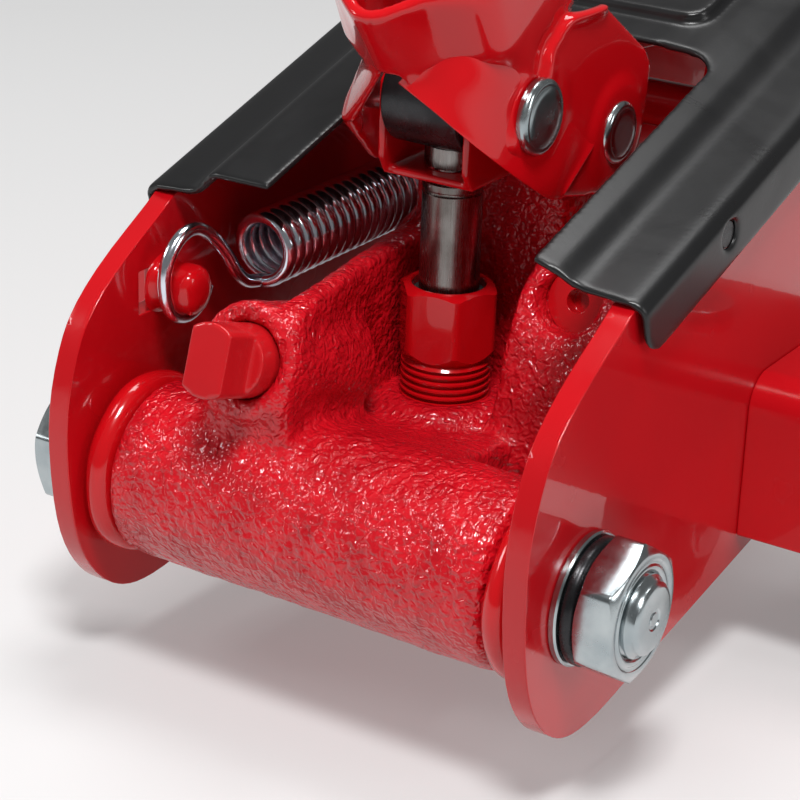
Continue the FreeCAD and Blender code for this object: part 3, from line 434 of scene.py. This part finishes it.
def catmull(pts, per=10):
    pts = [Vector(p) for p in pts]
    q = [pts[0] * 2 - pts[1]] + pts + [pts[-1] * 2 - pts[-2]]
    out = []
    for i in range(1, len(q) - 2):
        a, b, c, d = q[i - 1], q[i], q[i + 1], q[i + 2]
        for k in range(per):
            t = k / per
            out.append(0.5 * ((2 * b) + (c - a) * t + (2 * a - 5 * b + 4 * c - d) * t * t + (3 * b - a - 3 * c + d) * t ** 3))
    out.append(pts[-1])
    return out

# ------------------------------------------------------------------ pump casting
def casting():
    me = remeshed("pump_housing", 0.00085, 16, 0.5)
    co, no = getco(me), getno(me)
    d = np.empty(len(co))
    mm = co * 1000.0 - np.array([-235.245, 0, 42.0])
    for i, c in enumerate(mm):
        v = Vector(c)
        d[i] = noise.noise(v * 0.32) * 0.55 + noise.noise(v * 0.85 + Vector((7, 3, 1))) * 0.30 + noise.noise(v * 0.10 + Vector((1, 9, 4))) * 0.9
    keep = np.clip((np.hypot(mm[:, 0], mm[:, 2]) - 10.0) / 4.0, 0, 1) * np.clip((np.abs(mm[:, 1]) < 41.0).astype(float) + 0.3, 0, 1)
    rg = np.hypot(mm[:, 0] - 37.6, mm[:, 1])
    keep *= np.clip((rg - 9.0) / 3.0, 0.15, 1)
    near = np.clip((17.0 - rg) / 6.0, 0, 1); near = near * near * (3 - 2 * near)
    lift = near * np.clip(14.6 - mm[:, 2], 0, None) * ((mm[:, 2] > 9.0) & (no[:, 2] > 0.35))
    co[:, 2] += lift / 1000.0
    bore = (rg < 7.8) & (mm[:, 2] > -16.0) & (mm[:, 2] < 14.0)
    kk = np.where(bore & (rg > 4.5), np.maximum(rg, 6.7) / np.maximum(rg, 1e-6), 1.0)
    co[:, 0] += (mm[:, 0] - 37.6) * (kk - 1.0) / 1000.0
    co[:, 1] += mm[:, 1] * (kk - 1.0) / 1000.0
    co[:, 2] -= np.where(bore & (mm[:, 2] < -10.5), 1.3, 0.0) / 1000.0
    co = co + no * (d * keep * 0.33 / 1000.0)[:, None]
    setco(me, co)
    smooth(me, None)
    o = new_obj("pump_casting", me, "power_unit", M["cast"])
    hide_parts("pump_housing")
casting()

# ------------------------------------------------------------------ handle socket
def flap(base):
    """Right-hand sheet of the socket: its lower edge runs straight from the tube's mouth to the corner under the rivets."""
    from mathutils.bvhtree import BVHTree
    vs = [v.co.copy() for v in base.vertices]
    bv = BVHTree.FromPolygons(vs, [tuple(p.vertices) for p in base.polygons])
    C = Vector((-352.272, -236.379, 205.433)); F = 2462.58
    R_, U_, F_ = Vector((0.5461, -0.8371, 0.0320)), Vector((0.3118, 0.2386, 0.9197)), Vector((0.7775, 0.4923, -0.3913))
    def ray(px, py):
        return F_ + R_ * ((px - 400.0) / F) + U_ * ((400.0 - py) / F)
    def hit(px, py):
        d = ray(px, py)
        h = bv.ray_cast(P(*C), d.normalized())
        return None if h[0] is None else h[3] * 1000.0 / d.length
    E = catmull([(398, 83, -1.0), (414, 96, -5.0), (434, 112, -10.0), (455, 130, -14.0), (478, 149, -17.0), (503, 168, -19.2), (528, 186, -20.5), (549, 199, -20.9), (562, 199, -20.9)], 6)
    Tt = catmull([(418, 62, 0), (440, 52, 0), (465, 42, 0), (490, 40, 0), (515, 48, 0), (540, 62, 0), (565, 84, 0), (585, 112, 0), (598, 140, 0)], 6)
    nu, nv = len(E), 22
    D = np.zeros((nu, nv)); SX = np.zeros((nu, nv)); SY = np.zeros((nu, nv))
    for i in range(nu):
        e, t = E[i], Tt[i]
        de = (e.z + 236.379) / ray(e.x, e.y).y
        dt = hit(t.x, t.y)
        if dt is None:
            dt = de
        dt += 0.8
        for j in range(nv):
            v = j / (nv - 1.0)
            x_, y_ = e.x + (t.x - e.x) * v, e.y + (t.y - e.y) * v
            SX[i, j], SY[i, j] = x_, y_
            q = de + (dt - de) * v
            h = hit(x_, y_)
            if h is not None and v < 0.9 and h > q - 14.0:
                q = min(q, h - 0.5)
            # both ends and the far side sink into the sheet below, so only the lower edge is free
            uu = i / (nu - 1.0)
            a_ = min(1.0, uu / 0.22) * min(1.0, max(0.0, (1.0 - uu) / 0.12) + 0.6 * (v < 0.25)) * min(1.0, (1.0 - v) / 0.45)
            a_ = a_ * a_ * (3 - 2 * a_)
            if h is not None and abs(h - q) < 14.0:
                q = q * a_ + (h + 0.9) * (1 - a_)
            D[i, j] = q
    e0, e1 = D[:, 0].copy(), D[:, -1].copy()
    for _ in range(30):
        p_ = np.pad(D, 1, mode="edge")
        D = (p_[1:-1, 1:-1] * 2 + p_[:-2, 1:-1] + p_[2:, 1:-1] + p_[1:-1, :-2] + p_[1:-1, 2:]) / 6.0
        D[:, 0] = D[:, 0] * 0.5 + e0 * 0.5
        D[:, -1] = e1 + 0.6
    front, back = [], []
    for i in range(nu):
        for j in range(nv):
            d = ray(SX[i, j], SY[i, j])
            front.append(P(*(C + d * D[i, j])))
            back.append(P(*(C + d * (D[i, j] + 2.3))))
    n = nu * nv
    fs = []
    for i in range(nu - 1):
        for j in range(nv - 1):
            a, b, c, d = i * nv + j, (i + 1) * nv + j, (i + 1) * nv + j + 1, i * nv + j + 1
            fs.append((a, b, c, d)); fs.append((a + n, d + n, c + n, b + n))
    rim = [i * nv for i in range(nu)] + [(nu - 1) * nv + j for j in range(1, nv)] + [i * nv + nv - 1 for i in range(nu - 2, -1, -1)] + [j for j in range(nv - 2, 0, -1)]
    for k in range(len(rim)):
        a, b = rim[k], rim[(k + 1) % len(rim)]
        fs.append((b, a, a + n, b + n))
    me = bpy.data.meshes.new("socket_flap_right")
    me.from_pydata([tuple(v) for v in front + back], [], fs)
    bm = bmesh.new(); bm.from_mesh(me)
    bmesh.ops.recalc_face_normals(bm, faces=bm.faces)
    ed = [e for e in bm.edges if len(e.link_faces) == 2 and e.calc_face_angle() > math.radians(50)]
    bmesh.ops.bevel(bm, geom=ed, offset=0.0007, segments=3, profile=0.5, affect="EDGES", clamp_overlap=True)
    bm.to_mesh(me); bm.free()
    smooth(me, None)
    o = new_obj("socket_flap_right", me, "handle_socket", M["red_sock"])

def socket():
    me = remeshed("handle_socket", 0.0006, 9, 0.5)
    co, no = getco(me), getno(me)
    mm = co * 1000.0 - np.array([-235.245, 0, 42.0])
    # round embosses pressed outward around the two rivets
    for (cx_, cz_, r0, r1, h) in ((63.5, 66.0, 8.5, 12.5, 0.75), (33.0, 76.0, 9.0, 12.5, 0.35)):
        d = np.hypot(mm[:, 0] - cx_, mm[:, 2] - cz_)
        w = np.clip((r1 - d) / (r1 - r0), 0, 1); w = w * w * (3 - 2 * w)
        side = np.sign(mm[:, 1]) * (np.abs(mm[:, 1]) > 16.5)
        co[:, 1] += side * w * h / 1000.0
    # the right sheet reaches further back than the left one and its lower edge runs straight
    def sm(t):
        t = np.clip(t, 0, 1)
        return t * t * (3 - 2 * t)
    # the right side is one flat sheet at y = -20.4: carry its dished part out, keeping the thickness
    g = 1.5
    ix = np.floor((mm[:, 0] + 20.0) / g).astype(int); iz = np.floor((mm[:, 2] - 50.0) / g).astype(int)
    nx, nz = 60, 50
    ok = (ix >= 0) & (ix < nx) & (iz >= 0) & (iz < nz) & (mm[:, 1] < -8.0)
    outer = np.full((nx, nz), np.nan)
    for a_, b_, y_ in zip(ix[ok], iz[ok], mm[ok, 1]):
        if not (outer[a_, b_] < y_):
            outer[a_, b_] = y_
    dl = np.where(np.isnan(outer), 0.0, np.clip(-20.4 - outer, -4.4, 0.0))
    for _ in range(4):
        p_ = np.pad(dl, 1, mode="edge")
        dl = (p_[1:-1, 1:-1] * 2 + p_[:-2, 1:-1] + p_[2:, 1:-1] + p_[1:-1, :-2] + p_[1:-1, 2:]) / 6.0
    sel = ok & (mm[:, 0] < 58.0)
    wy = sm((-10.0 - mm[:, 1]) / 4.0)
    d2 = np.zeros(len(mm)); d2[sel] = dl[ix[sel], iz[sel]]
    co[:, 1] += d2 * wy / 1000.0
    setco(me, co)
    lock = 1.0 - sm((-9.0 - mm[:, 1]) / 3.0) * sm((40.0 - mm[:, 0]) / 10.0) * sm((mm[:, 2] - 62.0) / 4.0)
    laplace(me, 4, 0.5)
    laplace(me, 26, 0.5, lock)
    smooth(me, None)
    o = new_obj("handle_socket_pressing", me, "handle_socket", M["red_sock"])
    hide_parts("handle_socket")
    flap(me)
socket()

# ------------------------------------------------------------------ top cover
def cover():
    me = remeshed("top_cover", 0.0005, 13, 0.5)
    smooth(me, None)
    o = new_obj("cover_pressing", me, "frame", M["black"])
    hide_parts("top_cover")
cover()

# ------------------------------------------------------------------ release stem, yoke, spacers
for node, vox, it, body, mat in (("release_valve_stem", 0.00035, 6, "release_valve", "red_stem"), ("plunger_yoke", 0.0004, 4, "plunger_yoke", "red_sock")):
    me = remeshed(node, vox, it, 0.5)
    smooth(me, None)
    o = new_obj(node + "_painted", me, body, M[mat])
    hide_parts(node)

def bead(s, name):
    y0 = 84.7 / 2 + 0.15
    prof = [(8.1, y0), (16.2, y0), (17.4, y0 + 0.5), (18.2, y0 + 1.4), (18.6, y0 + 2.6), (18.5, y0 + 3.8), (17.8, y0 + 4.9), (16.8, y0 + 5.7), (15.6, 48.9), (8.1, 48.9)]
    wob = lambda r_, a: (lambda t: r_ + 0.22 * math.sin(3 * t + a) + 0.12 * math.sin(7 * t + 2 * a)) if r_ > 15 else r_
    return turned(name, [(wob(q[0], s), s * q[1]) for q in prof], (0, 0, 0), (0, 1, 0), (1, 0, 0), "frame", [M["red_sock"]], 120, angle=60)
bl, br_ = bead(1, "barrel_bead_left"), bead(-1, "barrel_bead_right")
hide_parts("barrel_spacers")

# ------------------------------------------------------------------ gland nut with its thread
def gland():
    AF, z0, z1, t30 = 17.9, 22.6, 37.5, math.tan(math.radians(30))
    hr = hexr(AF, AF / math.sqrt(3) * 0.965, math.radians(11.0))
    rings = [(6.05, 4.0), (8.9, 4.0)]
    z = 5.0
    while z < 21.5:
        rings += [(9.0, z), (9.0, z + 0.35), (8.2, z + 0.75), (8.2, z + 0.95), (9.0, z + 1.45)]
        z += 1.5
    rings += [(8.3, 22.2), (8.4, z0 - 0.1)]
    rings += [(8.5, z0), (hr, lambda t: z0 + 0.25 + max(0.0, hr(t) - 8.9) * 1.5), (hr, lambda t: z1 - (hr(t) - 8.2) * t30 * 1.1), (8.35, z1 - 0.1), (8.0, z1), (7.55, z1 - 0.05), (7.3, z1 - 0.4), (7.25, 34.0), (6.05, 34.0)]
    o = turned("gland_nut_threaded", rings, (37.6, 0, 0), (0, 0, 1), (1, 0, 0), "power_unit", [M["red_sock"]], 144, ("pump_gland_nut",), 34.0)
gland()

# ------------------------------------------------------------------ rear nut, bolt, washers
YO = 53.7
def rear_fasteners():
    t30 = math.tan(math.radians(30))
    af = 24.0
    hr = hexr(af, af / math.sqrt(3) * 0.985, 0.0)
    cut = lambda t: (hr(t) - 11.7) * t30
    ref = (math.cos(2.03), 0, math.sin(2.03))
    # nut: heights run outwards along -Y from the plate
    y0, y1 = YO + 4.4, YO + 12.4
    rings = [(8.05, y0), (11.4, y0), (hr, lambda t: y0 + max(0.0, cut(t))), (hr, lambda t: y1 - max(0.0, cut(t)) - 0.05), (11.65, y1), (10.6, y1), (10.3, y1 - 0.25), (9.6, y1 - 0.3), (9.3, y1 + 0.0), (8.7, y1 - 0.1), (8.05, y1 - 0.7)]
    turned("rear_nut", rings, (0, 0, 0), (0, -1, 0), ref, "frame", [M["zinc"]], 192, ("through_nut",), 30.0, bevel=0.00018)
    # bolt with rolled thread end, dog point and faced end; head on the left
    e = 68.4
    sh = [(0.0, e - 0.05), (1.2, e), (1.4, e - 0.25), (1.9, e - 0.25), (2.2, e - 0.02), (5.6, e), (6.3, e - 0.12), (6.9, e - 0.6), (7.1, e - 1.3), (7.9, e - 2.0), (7.95, e - 2.3), (7.3, e - 2.9), (7.95, e - 3.4), (8.0, e - 4.0), (8.0, -YO - 1.5)]
    y2, y3 = -(YO + 1.5), -(YO + 11.5)
    hr2 = hexr(af, af / math.sqrt(3) * 0.985, 0.2)
    cut2 = lambda t: max(0.0, (hr2(t) - 11.7) * t30)
    hd = [(11.6, y2), (hr2, y2 - 0.35), (hr2, lambda t: y3 + cut2(t) + 0.05), (11.6, y3), (9.0, y3 + 0.1), (8.6, y3 + 0.45), (0.0, y3 + 0.45)]
    turned("rear_bolt", sh + hd, (0, 0, 0), (0, -1, 0), (1, 0, 0), "frame", [M["zinc"], M["bolt_end"]], 144, ("through_bolt",), 33.0, face_mat=lambda i: 1 if i < 6 else 0)
    w1 = [(8.05, YO + 0.0), (12.5, YO), (12.8, YO + 0.3), (12.8, YO + 1.25), (12.45, YO + 1.6), (8.05, YO + 1.6)]
    a = turned("rear_washer_right", w1, (0, 0, 0), (0, -1, 0), (1, 0, 0), "frame", [M["zinc"]], 120, (), 30.0)
    b = turned("rear_washer_left", w1, (0, 0, 0), (0, 1, 0), (1, 0, 0), "frame", [M["zinc"]], 120, ("bolt_washers",), 30.0)
    l = [(8.05, YO + 1.65), (11.6, YO + 1.65), (12.15, YO + 2.2), (12.2, YO + 3.4), (11.8, YO + 4.1), (11.2, YO + 4.35), (8.05, YO + 4.35)]
    turned("split_washer", l, (0, 0, 0), (0, -1, 0), (1, 0, 0), "frame", [M["dark"]], 120, ("lock_washer",), 40.0)
rear_fasteners()

# ------------------------------------------------------------------ rivets of the socket
def rivet(node, name, x, z, r, rh, yf, yi, left_head):
    """Flat-headed rivet: yf is the outer face of the head and yi the sheet face under it."""
    def half(s):
        return [(rh - 1.75, s * yf), (rh - 1.6, s * (yf - 0.10)), (rh - 1.35, s * (yf - 0.12)), (rh - 1.15, s * (yf - 0.03)), (rh - 0.75, s * (yf - 0.14)), (rh - 0.3, s * (yf - 0.45)), (rh - 0.05, s * (yf - 0.9)), (rh, s * (yf - 1.3)), (rh - 0.1, s * (yi - 0.3)), (r, s * (yi - 0.4)), (r, s * (yi - 3.4))]
    right = [(0.0, yf), (rh * 0.55, yf)] + half(1)
    left = (half(-1)[::-1] + [(rh * 0.55, -yf), (0.0, -yf)]) if left_head else [(r, -(yi - 6.0)), (r, -(yi - 4.2)), (r - 0.4, -(yi - 3.9)), (0.0, -(yi - 3.9))]
    n = len(right) + len(left)
    return turned(name, right + left, (x, 0, z), (0, -1, 0), (1, 0, 0), "handle_socket", [M["zinc"], M["zinc_worn"]], 96, (node,), 40.0,
                  face_mat=lambda i: 1 if i < 2 or i > n - 4 else 0)
rivet("roller_pin", "roller_rivet", 33.0, 76.0, 5.0, 7.4, 22.3, 20.4, False)
rivet("socket_pivot_pin", "pivot_rivet", 63.5, 66.0, 4.5, 6.3, 22.9, 21.0, True)

# ------------------------------------------------------------------ return spring
def spring():
    wr, R = 1.42, 6.45
    x0, x1, pitch = 27.0, 134.5, 3.02
    turns = (x1 - x0) / pitch
    sy, sz = 38.0, 38.5
    pts = []
    # hook: loop about the tab, a bow down and forward, then into the first coil
    hook = [(15.8, 43.2, 33.4), (14.0, 43.4, 30.0), (9.6, 43.6, 28.3), (4.8, 43.6, 30.6), (2.6, 43.5, 36.6), (3.8, 43.3, 42.2), (7.2, 43.0, 45.6), (11.6, 42.8, 46.2), (15.6, 42.2, 43.9), (18.8, 41.0, 39.8), (21.2, 39.9, 35.2), (23.8, 39.2, 32.6)]
    a0 = math.radians(270.0)
    hp = catmull([P(*q) for q in hook] + [P(x0, sy + R * math.cos(a0), sz + R * math.sin(a0)), P(x0 + 0.12, sy + R * math.cos(a0 - 0.3), sz + R * math.sin(a0 - 0.3))], 8)[:-8]
    m = int(turns * 30)
    hel = []
    for i in range(m + 1):
        t = i / 30.0
        a = a0 - 2 * math.pi * t
        hel.append(P(x0 + pitch * t, sy + R * math.cos(a), sz + R * math.sin(a)))
    xe = x0 + pitch * m / 30.0
    a = a0 - 2 * math.pi * m / 30.0
    last = hel[-1]
    tail = catmull([last, P(xe + 2.4, sy + 3.0 * math.cos(a - 0.9), sz + 3.0 * math.sin(a - 0.9)), P(xe + 4.6, sy, sz), P(xe + 10.2, sy, sz), P(xe + 13.4, sy - 0.3, sz - 2.4), P(xe + 12.4, sy - 0.6, sz - 5.6)], 7)
    pts = hp[:-1] + hel + tail[1:]
    o = tube("return_spring_wire", pts, wr / 1000.0, None, M["chrome"], 12)
    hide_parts("return_spring")
    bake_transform(o)
spring()

# ------------------------------------------------------------------ side plates and their details
for n in ("side_plate_left", "side_plate_right"):
    finish_cad(n, M["red"], 0.0007, 3, 40.0)

def tab_lump():
    """Paint-filled lanced tab that holds the spring hook."""
    prof = [(0.0, 39.0), (0.45, 39.15), (0.75, 39.6), (0.93, 40.4), (1.0, 41.6), (1.0, 43.5), (0.98, 46.0), (1.02, 47.8), (1.12, 48.7), (1.3, 49.1), (0.0, 49.1)]
    def rad(k, y):
        def g(t):
            c, s_ = abs(math.cos(t)), abs(math.sin(t))
            e = 2.5
            q = ((c / 4.3) ** e + (s_ / 4.9) ** e) ** (-1 / e)
            return k * q * (1.0 + 0.04 * math.sin(3 * t + y))
        return g
    rings = [(rad(k, y) if k else 0.0, y) for k, y in prof]
    turned("spring_tab_lump", rings, (9.2, 0, 34.3), (0, 1, 0), (1, 0, 0), "frame", [M["red_sock"]], 72, (), 70.0)
tab_lump()

# ------------------------------------------------------------------ everything else keeps its CAD mesh
REST = {
    "red": ["tie_bar", "lift_arm_plate_left", "lift_arm_plate_right", "arm_pivot_tube", "arm_crank", "arm_top_web", "level_links", "saddle_bracket",
            "ram_clevis", "spring_anchor", "oil_tank", "tank_end_nut", "caster_hood_left", "caster_hood_right", "overload_plug"],
    "black": ["saddle_cup"],
    "zinc": ["caster_fork_left", "caster_fork_right", "pivot_retaining_rings", "axle_washers", "axle_retaining_nuts", "caster_kingpins", "caster_axle_left",
             "caster_axle_right", "saddle_retaining_ring", "link_anchor_pins", "link_front_pin", "saddle_pin"],
    "ground": ["ram", "pump_plunger", "ram_cylinder", "check_valve_balls", "ram_pin", "arm_pivot_shaft"],
    "steel": ["front_axle"],
    # pump_roller takes the dark finish as painted shade: it sits in shadow between the socket flaps
    "dark": ["cover_rivets", "pump_roller"],
    "wheel": ["front_wheel_left", "front_wheel_right", "caster_wheel_left", "caster_wheel_right"],
    "rubber": ["seal_rings", "ram_cup_seal", "filler_plug"],
}
for k, ns in REST.items():
    for n in ns:
        if n not in NODES:
            continue
        small = n in ("seal_rings", "ram_cup_seal", "check_valve_balls", "cover_rivets", "saddle_retaining_ring", "pivot_retaining_rings", "pump_plunger", "filler_plug", "overload_plug")
        finish_cad(n, M[k], 0.00015 if small else (0.0012 if "hood" in n else 0.0005), 2 if small else 3)

# ------------------------------------------------------------------ floor and light
def area(name, loc, target, sx, sy, power, color=(1, 1, 1)):
    l = bpy.data.lights.new(name, "AREA"); l.shape = "RECTANGLE"; l.size = sx; l.size_y = sy; l.energy = power; l.color = color
    o = bpy.data.objects.new(name, l); col.objects.link(o)
    o.location = loc
    o.rotation_mode = "QUATERNION"
    o.rotation_quaternion = (Vector(target) - Vector(loc)).to_track_quat("-Z", "Y")
    return o
me = bpy.data.meshes.new("floor")
S = 6.0
me.from_pydata([(-S, -S, 0), (S, -S, 0), (S, S, 0), (-S, S, 0)], [], [(0, 1, 2, 3)])
floor = bpy.data.objects.new("floor", me); col.objects.link(floor)
fm, nt, b = tree("floor_paper")
b.inputs["Base Color"].default_value = (0.50, 0.50, 0.50, 1)
b.inputs["Roughness"].default_value = 0.75
b.inputs["Specular IOR Level"].default_value = 0.15
b.inputs["Emission Color"].default_value = (1, 1, 1, 1)
b.inputs["Emission Strength"].default_value = 0.24
floor.data.materials.append(fm)
wd = bpy.data.worlds.new("studio"); scene.world = wd; wd.use_nodes = True
bg = wd.node_tree.nodes["Background"]
bg.inputs["Color"].default_value = (1, 1, 1, 1); bg.inputs["Strength"].default_value = 0.16
T = (-0.20, 0.0, 0.06)
area("key", (-0.60, -0.25, 0.90), T, 0.22, 0.18, 8.0)
area("top", (0.05, 0.10, 1.10), T, 0.5, 0.35, 5.5)
area("right", (-0.15, -1.2, 0.55), T, 0.20, 0.6, 2.8)
area("left", (-0.75, 0.9, 0.6), T, 0.3, 0.3, 3.0)
